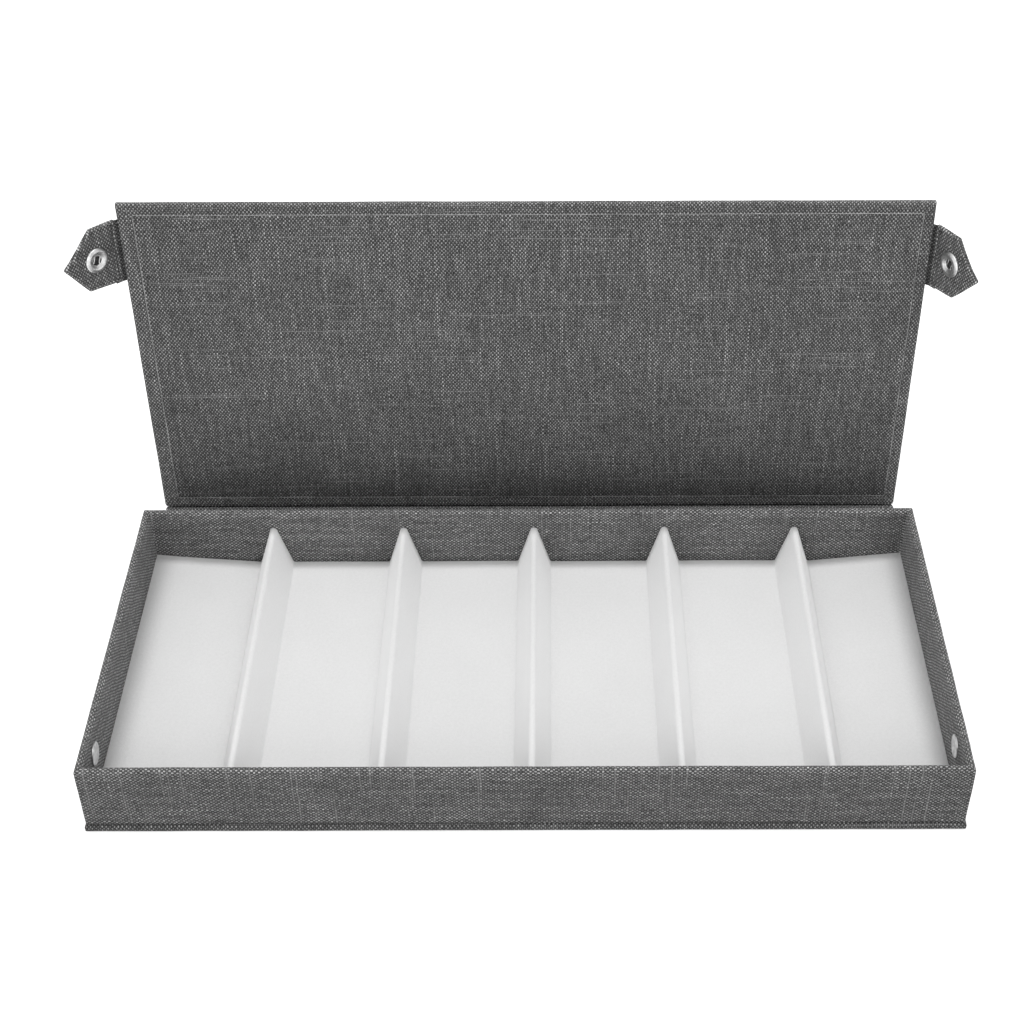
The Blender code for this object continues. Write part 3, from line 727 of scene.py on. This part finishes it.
def tray_cloth(low, high, material):
    """One band of cloth round the tray's walls, over the rim and down the inside."""
    foot = WALL_FOOT_RADIUS
    radius = RIM_RADIUS
    top = high.z - radius
    upright = 0.5 * math.pi
    outer = arc((foot, low.z + foot), foot, 3 * upright, 2 * upright, 3)
    # painted shade along the walls' foot
    outer = [(i, h, -FOOT_SHADE) for i, h in outer] + [(0.0, low.z + FOOT_SHADE_HEIGHT, 0.0)]
    outer += [(i, h, 0.0) for i, h in between((0, low.z + foot), (0, top), 5)]
    # the rim is painted paler: rubbed wear and painted highlight
    outer += [(i, h, RIM_WEAR_AND_HIGHLIGHT) for i, h in arc((radius, top), radius, 2 * upright, upright)]
    inner = arc((WALL - radius, top), radius, upright, 0.0)
    inner = [(i, h, INNER_RIM_WEAR_AND_HIGHLIGHT) for i, h in inner]
    inner += [(i, h, 0.0) for i, h in between((WALL, top), (WALL, low.z), 9)]
    inner.append((WALL, low.z, 0.0))
    least = WALL_CORNER_RADIUS
    profile = [(i, h, max(CORNER_RADIUS - i, least), w) for i, h, w in outer]
    for inset, height, wear_and_painted_light in inner:
        share = min(1, inset / WALL)
        profile.append((inset, height, least + share * (INNER_CORNER_RADIUS - least), wear_and_painted_light))
    surface = Surface()
    rings(surface, low, high, profile, upright=True)
    surface.ripple(TRAY_RIPPLE, 4.0)
    # painted shade on the rear wall
    shade_rear_wall(surface, high.y, top)
    piece = thicken(surface.object("tray_wall_cloth", material), CLOTH)
    round_it = 2 * (high.x - low.x + high.y - low.y)
    return piece, (round_it, 2 * (high.z - low.z) + WALL)


def shade_rear_wall(surface, back, top):
    """Paints shade into the rear wall's cloth below its rim, most of all at the velvet."""
    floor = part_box("velvet_liner")[0].z + VELVET
    for vert in surface.shape.verts:
        if vert.co.y > back - 1.1 * WALL and vert.co.z < top:
            foot = math.exp(-max(vert.co.z - floor, 0) / REAR_SHADE_LENGTH)
            vert[surface.wear_and_painted_light] -= REAR_SHADE + REAR_FOOT_SHADE * foot


def ridge_profile(middle, floor):
    """The velvet's upper surface over one ridge, from left to right."""
    centre_z = floor + RIDGE_HEIGHT - APEX_RADIUS
    spread = APEX_RADIUS + (centre_z - floor) * math.cos(FLANK_ANGLE)
    foot_x = spread / math.sin(FLANK_ANGLE) + FOOT_RADIUS * math.tan(FLANK_ANGLE / 2)
    down = -math.pi / 2
    rest = math.pi / 2 - FLANK_ANGLE
    left = arc((middle - foot_x, floor + FOOT_RADIUS), FOOT_RADIUS, down, down + FLANK_ANGLE, 6)
    apex = arc((middle, centre_z), APEX_RADIUS, math.pi - rest, rest, 8)
    right = arc((middle + foot_x, floor + FOOT_RADIUS), FOOT_RADIUS, down - FLANK_ANGLE, down, 6)
    return left + between(left[-1], apex[0], 5) + apex + between(apex[-1], right[0], 5) + right


def velvet_sheet(material):
    low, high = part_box("velvet_liner")
    floor = low.z + VELVET
    profile = [(low.x, floor + END_RISE)]
    first = RIDGE_SHIFT - SLOT_PITCH * (RIDGE_COUNT - 1) / 2
    for index in range(RIDGE_COUNT):
        ridge = ridge_profile(first + index * SLOT_PITCH, floor)
        profile += between(profile[-1], ridge[0], 6 if index else 4) + ridge
    end = (high.x, floor + END_RISE)
    profile += between(profile[-1], end, 4) + [end]
    surface = Surface()
    length = swept(surface, profile, low.y, high.y, 26, "Y")
    surface.shape.normal_update()
    for vert in surface.shape.verts:
        flat = abs(vert.normal.z) ** 4
        wave = noise.noise(vert.co / VELVET_WAVE_LENGTH + Vector((2.0, 0, 0)))
        vert.co += vert.normal * (VELVET_WAVE * flat + VELVET_LEAST_WAVE) * wave
        # painted light: whiter near the walls and on steep flanks
        wall = min(vert.co.x - low.x, high.x - vert.co.x, vert.co.y - low.y, high.y - vert.co.y)
        painted_wall_light = math.exp(-max(wall, 0) / WALL_PAINTED_LIGHT_LENGTH)
        vert[surface.wear_and_painted_light] = -max(painted_wall_light, 1 - abs(vert.normal.z))
    piece = thicken(surface.object("velvet_sheet", material), VELVET)
    return piece, (length, high.y - low.y)


def foam_ridge(number, material):
    """A foam wedge under the velvet, with a soft crown."""
    low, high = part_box(f"divider_core_{number}")
    crown = ((low.x + high.x) / 2, high.z - FOAM_CROWN)
    apex = arc(crown, FOAM_CROWN, math.radians(165), math.radians(15), 4)
    left = (low.x, low.z + FOAM_CUT)
    right = (high.x, low.z + FOAM_CUT)
    profile = [(low.x + FOAM_CUT_WIDTH, low.z), left] + between(left, apex[0], 4) + apex
    profile += between(apex[-1], right, 4) + [right, (high.x - FOAM_CUT_WIDTH, low.z)]
    surface = Surface()
    swept(surface, profile + profile[:1], low.y, high.y, FOAM_CELLS, "Y")
    for y, outline in ((low.y, profile[::-1]), (high.y, profile)):
        surface.face([surface.point((x, y, z)) for x, z in outline], outline)
    surface.weld()
    surface.ripple(FOAM_RIPPLE, number)
    return surface.object(f"ridge_foam_{number}", material)


def hinge_strip(name, profile, material, matrix, seed):
    """A strip of cloth across a long hinge, glued at both sides."""
    spine_low, spine_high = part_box("spine_cover")
    low, high = spine_low.x + HINGE_END, spine_high.x - HINGE_END
    surface = Surface()
    width = swept(surface, profile, low, high, round((high - low) / CELL), "X")
    surface.ripple(HINGE_RIPPLE, seed)
    piece = thicken(surface.object(name, material, matrix), HINGE_CLOTH, 0)
    return piece, (high - low, width)


def lower_hinge(material):
    """From the foot of the tray's rear wall, across the gap, to the spine's front edge."""
    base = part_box("base_cover")[1].y
    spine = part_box("spine_cover")[0].y
    wall = base + 0.35 * MM
    edge = spine - 0.30 * MM
    level = 0.35 * MM
    bend = 0.8 * MM
    profile = [(wall, 8 * MM), (wall, 5 * MM), (wall, 2.5 * MM)]
    profile += arc((wall + bend, level + bend), bend, math.pi, 1.5 * math.pi, 3)
    profile += between(profile[-1], (edge - bend, level), 4)
    profile += arc((edge - bend, level + bend), bend, 1.5 * math.pi, 2 * math.pi, 3)
    profile.append((edge, 2.9 * MM))
    return hinge_strip("lower_hinge_cloth", profile, material, None, 7.0)


def upper_hinge(material, frames, frame):
    """From the spine's rear edge, round under the lid's lower edge."""
    spine = local_box(frame, "spine_cover", frames["lid_pivot"])[1]
    lid = local_box(frame, "lid_cover", frames["lid"])[0]
    bend = math.pi / 2 - LID_LEAN
    edge = spine.y + 0.30 * MM
    start = lid.y - 0.30 * MM
    up = Vector((math.cos(bend), math.sin(bend)))
    inner = Vector((-math.sin(bend), math.cos(bend)))
    curve = 1.9 * MM
    reach = curve * math.tan(bend / 2)
    profile = [(edge, 2.6 * MM), (edge, 1.2 * MM), (edge + 0.1 * MM, 0.4 * MM)]
    profile += arc((-reach, curve), curve, 1.5 * math.pi, 1.5 * math.pi + bend, 8)
    profile.append(tuple((start - 0.5 * MM) * up))
    profile += [tuple(start * up + depth * MM * inner) for depth in (0.2, 1.4, 2.6)]
    return hinge_strip("upper_hinge_cloth", profile, material, frames["lid_pivot"], 9.0)


# Tabs


def polygon_inset(corners, inset):
    """A convex polygon, anticlockwise, with each side moved in by inset."""
    lines = []
    for index, start in enumerate(corners):
        run = (corners[(index + 1) % len(corners)] - start).normalized()
        inward = Vector((-run.y, run.x))
        lines.append((start + inward * inset, run))
    made = []
    for index, (place, run) in enumerate(lines):
        before, before_run = lines[index - 1]
        share = (place - before).cross(run) / before_run.cross(run)
        made.append(before + before_run * share)
    return made


def rounded_polygon(corners, radii, steps=4):
    """A polygon's outline with rounded corners and points along its sides."""
    arcs = []
    for index, corner in enumerate(corners):
        before = (corners[index - 1] - corner).normalized()
        after = (corners[(index + 1) % len(corners)] - corner).normalized()
        half = math.acos(max(-1, min(1, before.dot(after)))) / 2
        cut = radii[index] / math.tan(half)
        centre = corner + (before + after).normalized() * radii[index] / math.sin(half)
        first = corner + before * cut
        last = corner + after * cut
        points = []
        for step in range(steps + 1):
            place = first.lerp(last, step / steps) - centre
            points.append(centre + place.normalized() * radii[index])
        arcs.append(points)
    outline = []
    for index, points in enumerate(arcs):
        following = arcs[(index + 1) % len(arcs)][0]
        outline += points
        outline += [points[-1].lerp(following, step / steps) for step in range(1, steps)]
    return outline


def tab_corners(tab):
    """The tab's outline as (distance from its hinge, place along it), anticlockwise."""
    return [Vector(corner) * MM for corner in tab["corners"]]


def tab_spans(tab):
    """The outline's reach from the hinge and along it."""
    corners = tab_corners(tab)
    return [max(c[axis] for c in corners) - min(c[axis] for c in corners) for axis in (0, 1)]


def tab_ring(tab, inset):
    radii = [max(radius - 0.6 * inset, LEAST_TAB_RADIUS) for radius in TAB_RADII]
    return rounded_polygon(polygon_inset(tab_corners(tab), inset), radii)


def curve_turn(curve, distance):
    """The cloth's turn, in radians, this far from the tab's hinge."""
    for (start, low), (end, high) in zip(curve, curve[1:]):
        if distance <= end * MM:
            share = max(0.0, (distance / MM - start) / (end - start))
            share = share * share * (3 - 2 * share)
            return math.radians(low + (high - low) * share)
    return math.radians(curve[-1][1])


def curved_place(tab, distance, along, height):
    """A point of the flat tab, given its distance from the hinge, on the curved one."""
    steps = 24
    out = 0.0
    rise = 0.0
    for step in range(steps):
        turn = curve_turn(tab["curve"], distance * (step + 0.5) / steps)
        out += math.cos(turn) * distance / steps
        rise += math.sin(turn) * distance / steps
    turn = curve_turn(tab["curve"], distance)
    out -= height * math.sin(turn)
    rise += height * math.cos(turn)
    return Vector((tab["side"] * out, along, rise))


def tab_layers(tab, levels):
    """Rings round the tab. levels is (inset, height, wear and painted light, share of the way to the
    snap's hole).
    """
    surface = Surface()
    hole_middle = Vector((tab["snap"], 0))
    made = []
    for inset, height, wear_and_painted_light, share in levels:
        ring = []
        for place in tab_ring(tab, inset):
            away = place - hole_middle
            hole = hole_middle + away.normalized() * TAB_HOLE
            spot = place.lerp(hole, share)
            # painted shade towards the tab's root
            shade = ROOT_SHADE * math.exp(-spot.x / ROOT_SHADE_LENGTH)
            vert = surface.point(curved_place(tab, spot.x, spot.y, height), wear_and_painted_light - shade)
            ring.append((vert, spot))
        made.append(ring)
    for lower, upper in zip(made, made[1:]):
        surface.join(lower, upper, closed=True, flip=tab["side"] < 0)
    return surface


def tab_outer_cloth(name, tab, material, matrix):
    """The cloth on the tab's outer face, turned over its edge onto the inner face."""
    top = TAB_FACE + 0.15 * MM
    bottom = TAB_FACE - TAB_THICKNESS
    middle = (top + bottom) / 2
    radius = (top - bottom) / 2
    edge = 0.75 * radius
    levels = [(edge, bottom, 0.0, share) for share in (0.98, 0.8, 0.6, 0.4, 0.2, 0.06)]
    # the turned edge is painted paler: rubbed wear and painted highlight
    for step in range(7):
        angle = -math.pi / 2 + math.pi * step / 6
        levels.append((edge * (1 - math.cos(angle)), middle + radius * math.sin(angle), 0.6, 0.0))
    # the border's fold is painted paler still
    levels.append((TAB_BORDER - 0.35 * MM, top, 0.25, 0.0))
    levels.append((TAB_BORDER - 0.1 * MM, top - 0.05 * MM, 1.0, 0.0))
    levels.append((TAB_BORDER, top - 0.35 * MM, 0.6, 0.0))
    surface = tab_layers(tab, levels)
    surface.ripple(TAB_BACK_RIPPLE, 3.0 * tab["side"])
    return thicken(surface.object(f"tab_{name}_back_cloth", material, matrix), TAB_CLOTH)


def tab_inner_cloth(name, tab, material, matrix):
    """The sheet on the tab's inner face, inside the turned border."""
    inset = TAB_BORDER + 0.2 * MM
    levels = [(TAB_BORDER - 0.5 * MM, TAB_FACE - 0.3 * MM, 0.0, 0.0)]
    levels.append((inset, TAB_FACE - 0.12 * MM, 0.0, 0.0))
    levels += [(inset, TAB_FACE, 0.0, share) for share in (0.1, 0.25, 0.45, 0.65, 0.85, 0.98)]
    surface = tab_layers(tab, levels)
    surface.ripple(TAB_FACE_RIPPLE, 5.0 * tab["side"])
    return surface.object(f"tab_{name}_face_cloth", material, matrix)


def tab_core(name, tab, material, matrix):
    """The card stiffener between the two cloths."""
    top = TAB_FACE - 0.55 * MM
    bottom = top - 0.9 * MM
    levels = [(1.0 * MM, bottom, 0, share) for share in (0.97, 0.5, 0.0)]
    levels += [(1.0 * MM, top, 0, share) for share in (0.0, 0.5, 0.97)]
    return tab_layers(tab, levels).object(f"tab_{name}_card", material, matrix)


def tab_root(name, tab, material, frames):
    """The cloth from inside the lid's edge to the tab, across the tab's fold, built with the tab at
    rest.
    """
    side = tab["side"]
    to_lid = frames["lid"].inverted() @ frames[f"tab_{name}"]
    under = TAB_FACE - 0.25 * MM
    distances = (0.25 * MM, 1.0 * MM, 2.4 * MM, 4.0 * MM)
    on_tab = [to_lid @ curved_place(tab, distance, 0, under) for distance in distances]
    edge = side * LID_HALF
    profile = [(edge - side * 5 * MM, 0.6 * MM), (edge - side * 2.5 * MM, 0.6 * MM)]
    profile.append((edge - side * 0.2 * MM, 0.65 * MM))
    profile += between(profile[-1], (on_tab[0].x, on_tab[0].z), 3)
    profile += [(place.x, place.z) for place in on_tab]
    if side < 0:
        profile.reverse()
    foot, top = tab["corners"][0][1] * MM, tab["corners"][-1][1] * MM
    middle = on_tab[0].y
    surface = Surface()
    low, high = middle + foot + ROOT_INSET, middle + top - ROOT_INSET
    # the root strip is painted dark all over: painted shade
    width = swept(surface, profile, low, high, 10, "Y", wear_and_painted_light=-ROOT_SHADE)
    piece = surface.object(f"tab_{name}_root_cloth", material, frames["lid"])
    return thicken(piece, ROOT_CLOTH, 0), (high - low, width)


# Snaps


def snap_frame(tab, matrix, height):
    """A frame on the curved tab, at its snap, with Z out of the inner face."""
    place = curved_place(tab, tab["snap"], 0, height)
    turn = curve_turn(tab["curve"], tab["snap"])
    return matrix @ Matrix.Translation(place) @ Matrix.Rotation(-tab["side"] * turn, 4, "Y")


def turned_mm(name, profile, steel, place):
    return turned(name, [(radius * MM, height * MM) for radius, height in profile], steel, place)


def cap(name, shape, size, steel, place):
    """A cap that faces the frame's -Z."""
    radius, rise = size
    profile = [(radius * share, -rise * height) for share, height in shape]
    return turned(name, [(0.0, -0.02 * MM)] + profile, steel, place)


def wire(name, points, radius, material, place, closed=False):
    """A round wire through these points: smoothed when open, in straight runs when closed."""
    curve = bpy.data.curves.new(name, "CURVE")
    curve.dimensions = "3D"
    curve.bevel_depth = radius
    curve.bevel_resolution = 3
    curve.use_fill_caps = not closed
    spline = curve.splines.new("POLY" if closed else "NURBS")
    spline.points.add(len(points) - 1)
    for point, spot in zip(spline.points, points):
        point.co = (*spot, 1)
    spline.use_cyclic_u = closed
    spline.use_endpoint_u = not closed
    spline.order_u = 4
    curve.materials.append(material)
    piece = put(name, curve)
    piece.matrix_world = place
    return piece


def socket_spring(name, steel, place):
    """A bent wire: two bowed arms across the hole, joined at one end."""
    arm = SPRING_ARM
    reach = SPRING_REACH
    side = [(-reach, arm), (-reach / 3, arm * 0.8), (reach / 3, arm * 0.8), (reach * 0.9, arm)]
    points = [(x, -y, 0) for x, y in side]
    points += [(reach * 1.1, -arm * 0.35, 0), (reach * 1.1, arm * 0.35, 0)]
    points += [(x, y, 0) for x, y in reversed(side)]
    return wire(name, points, SPRING_WIRE, steel, place)


def edge_thread(name, low, high, material, matrix):
    """The loose last thread that shows along a lining's cut edge."""
    counts = [round((high[axis] - low[axis]) / (3 * MM)) for axis in (0, 1)]
    points = []
    for place in ring_points(low, high, 0.35 * MM, 0.5 * MM, counts):
        spot = Vector((place.x, place.y, high.z - 0.05 * MM))
        stray = noise.noise_vector(spot / (6 * MM))
        points.append((spot.x + 0.14 * MM * stray.x, spot.y + 0.14 * MM * stray.y, spot.z))
    return wire(name, points, THREAD, material, matrix, closed=True)


# The whole


def make_camera():
    data = bpy.data.cameras.new("camera")
    data.lens = CAMERA_LENS
    data.sensor_width = SENSOR_WIDTH
    data.shift_x = CAMERA_SHIFT
    data.clip_start = 0.05
    camera = put("camera", data)
    camera.location = CAMERA_PLACE
    turn = Matrix.Rotation(math.pi / 2 - CAMERA_PITCH, 4, "X") @ Matrix.Rotation(CAMERA_ROLL, 4, "Z")
    camera.rotation_euler = turn.to_euler()
    bpy.context.scene.camera = camera


def area_light(name, place, target, size, power):
    data = bpy.data.lights.new(name, "AREA")
    data.shape = "RECTANGLE"
    data.size, data.size_y = size
    data.energy = power
    light = put(name, data)
    light.location = place
    aim = Vector(target) - Vector(place)
    light.rotation_euler = aim.to_track_quat("-Z", "Y").to_euler()


def make_world():
    """White all round: brightest at the horizon, dimmer above, and dim below the floor."""
    world = bpy.data.worlds.new("studio")
    nodes = Nodes(world, "Background")
    place = nodes.add("ShaderNodeTexCoord").outputs["Generated"]
    z = nodes.add("ShaderNodeSeparateXYZ", {0: place}).outputs[2]
    strength = nodes.math("ADD", *(nodes.ranged(z, *ramp) for ramp in LIGHT_BY_HEIGHT))
    nodes.shade({"Color": (1, 1, 1, 1), "Strength": strength})
    bpy.context.scene.world = world


def make_floor():
    surface = Surface()
    reach = FLOOR_REACH
    corners = [(-reach, -reach), (reach, -reach), (reach, reach), (-reach, reach)]
    surface.face([surface.point((x, y, FLOOR_LEVEL)) for x, y in corners], corners)
    nodes = Nodes(bpy.data.materials.new("floor_paper"))
    tone = nodes.ranged(nodes.noise(nodes.object_place(), 180.0, 2.0), 0.3, 0.7, 0.92, 0.94)
    nodes.shade({
        "Base Color": tone,
        "Roughness": 0.95,
        "Emission Color": (1, 1, 1, 1),
        "Emission Strength": FLOOR_GLOW,
    })
    floor = surface.object("floor", nodes.owner)
    floor.visible_diffuse = False  # so that what light comes from below is the world's, and even


def make_studio():
    """A pale floor under soft, even light."""
    bpy.context.scene.view_settings.view_transform = "Standard"
    make_world()
    for light in AREA_LIGHTS:
        area_light(*light)
    make_floor()


def on(piece, body, slot, *nodes):
    """Puts a piece on its body, in place of these CAD nodes."""
    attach(piece, body)
    if nodes:
        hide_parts(*nodes)
    return piece


def dress_boards(frame, board, card):
    """Materials for the CAD nodes that stay: the boards and the insert's card."""
    for name, node in frame["nodes"].items():
        if name.endswith("_board") or name == "insert_card":
            node.data.materials.clear()
            node.data.materials.append(card if name == "insert_card" else board)


def make_panels(frame, frames, linen, thread):
    panels = (
        # the base's edges get painted shade where the tray meets the base
        ("base", "case", TURN_IN, -BASE_EDGE_SHADE),
        ("spine", "spine", SPINE_TURN_IN, EDGE_WEAR_AND_HIGHLIGHT),
        ("lid", "lid", TURN_IN, EDGE_WEAR_AND_HIGHLIGHT),
    )
    for seed, (name, body, turn_in, wear_and_painted_light) in enumerate(panels):
        place = frames[body]
        low, high = local_box(frame, f"{name}_cover", place)
        cloth = f"{name}_cloth"
        piece, size = panel_cloth(cloth, low, high, turn_in, linen, place, 11.0 * seed, wear_and_painted_light)
        on(piece, body, "grey_linen", f"{name}_cover")
    for seed, name in enumerate(("spine", "lid")):
        low, high = local_box(frame, f"{name}_lining", frames[name])
        piece, size = lining_sheet(f"{name}_lining_sheet", low, high, linen, frames[name], 5.0 + seed)
        on(piece, name, "grey_linen", f"{name}_lining")
        on(edge_thread(f"{name}_lining_thread", low, high, thread, frames[name]), name, "grey_linen")


def fold(piece, size, node, bodies, ends, rests_on):
    """Puts a cloth that crosses a fold in place of a CAD node, with its place baked into its mesh."""
    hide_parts(node)
    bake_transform(piece)


def make_hinges(frame, frames, linen):
    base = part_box("base_cover")[1].y
    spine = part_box("spine_cover")[0].y
    ends = ((0, base + 0.8 * MM, 0), (0, spine - 0.8 * MM, 0))
    boards = ["tray_rear_board", "spine_board"]
    fold(*lower_hinge(linen), "hinge_cloth_lower", ("case", "spine"), ends, boards)

    pivot = frames["lid_pivot"].translation
    ends = (pivot + Vector((0, -1.6 * MM, -0.4 * MM)), pivot + Vector((0, 0.4 * MM, 2.6 * MM)))
    boards = ["spine_board", "lid_board"]
    piece, size = upper_hinge(linen, frames, frame)
    fold(piece, size, "hinge_cloth_upper", ("spine", "lid"), ends, boards)


def make_insert(velvet, foam):
    piece, size = velvet_sheet(velvet)
    on(piece, "case", "white_velvet", "velvet_liner")
    for number in range(1, RIDGE_COUNT + 1):
        piece = on(foam_ridge(number, foam), "case", "ridge_foam", f"divider_core_{number}")


def make_tab(name, tab, frames, linen, card, steel, shadow_steel):
    body = f"tab_{name}"
    matrix = frames[body]
    length, width = tab_spans(tab)
    over = 2 * (TAB_BORDER + TAB_THICKNESS)
    rest = [f"tab_{name}_card"]
    outer = on(tab_outer_cloth(name, tab, linen, matrix), body, "grey_linen", f"{body}_outer_cloth")
    size = (width + over, length + over)
    inner = on(tab_inner_cloth(name, tab, linen, matrix), body, "grey_linen", f"{body}_inner_cloth")
    on(tab_core(name, tab, card, matrix), body, "white_card", f"{body}_stiffener")

    root, size = tab_root(name, tab, linen, frames)
    start = matrix.translation - Vector((tab["side"] * 0.95 * MM, 0, 0))
    end = matrix @ Vector((tab["side"] * 0.4 * MM, 0, 0))
    fold(root, size, f"tab_hinge_{name}", ("lid", body), (start, end), ["lid_board"] + rest)

    front = snap_frame(tab, matrix, TAB_FACE)
    ring = turned_mm(f"snap_{name}_ring", RING, steel, front)
    on(ring, body, "snap_steel", f"snap_socket_{name}")
    # the cup is dark: painted shadow in the hole
    on(turned_mm(f"snap_{name}_cup", CUP, shadow_steel, front), body, "snap_steel")
    turn = Matrix.Rotation(SPRING_TURN, 4, "Z")
    spring_place = front @ Matrix.Translation((0, 0, 0.05 * MM)) @ turn
    spring = socket_spring(f"snap_{name}_spring", steel, spring_place)
    on(spring, body, "snap_steel", f"socket_spring_{name}")
    back = snap_frame(tab, matrix, TAB_FACE - TAB_THICKNESS)
    outer_cap = cap(f"snap_{name}_cap", DOMED_CAP, DOMED_CAP_SIZE, steel, back)
    on(outer_cap, body, "snap_steel", f"snap_cap_{name}")


def make_studs(steel):
    tray_low, tray_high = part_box("tray_cover")
    for name, tab in TABS.items():
        side = tab["side"]
        low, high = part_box(f"stud_cap_{name}")
        _, y, z = (low + high) / 2
        outer_x = tray_high.x if side > 0 else tray_low.x
        outward = Matrix.Rotation(side * math.pi / 2, 4, "Y")
        outer = Matrix.Translation((outer_x, y, z)) @ outward
        stud = turned_mm(f"stud_{name}", BALL, steel, outer)
        on(stud, "case", "snap_steel", f"snap_stud_{name}")
        inner = Matrix.Translation((outer_x - side * WALL, y, z)) @ outward
        inner_cap = cap(f"stud_{name}_cap", INNER_CAP, INNER_CAP_SIZE, steel, inner)
        on(inner_cap, "case", "snap_steel", f"stud_cap_{name}")


def main():
    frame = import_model()
    make_camera()
    make_studio()
    frames = joint_frames(frame)
    frames["lid_pivot"] = Matrix.Translation(frames["lid"].translation)
    linen = linen_material()
    velvet = velvet_material()
    steel = steel_material("nickel_plate", 0.50, 0.86, 0.28)
    # near-black steel for the cup: painted shadow in the snap's hole
    shadow_steel = steel_material("painted_shadow_steel", 0.05, 0.09, 0.45)
    board, card, foam = (fibre_material(*fibre) for fibre in FIBRES)
    dress_boards(frame, board, card)
    make_panels(frame, frames, linen, thread_material())
    low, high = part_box("tray_cover")
    piece, size = tray_cloth(low, high, linen)
    on(piece, "case", "grey_linen", "tray_cover")
    make_hinges(frame, frames, linen)
    make_insert(velvet, foam)
    for name, tab in TABS.items():
        make_tab(name, tab, frames, linen, card, steel, shadow_steel)
    make_studs(steel)


main()
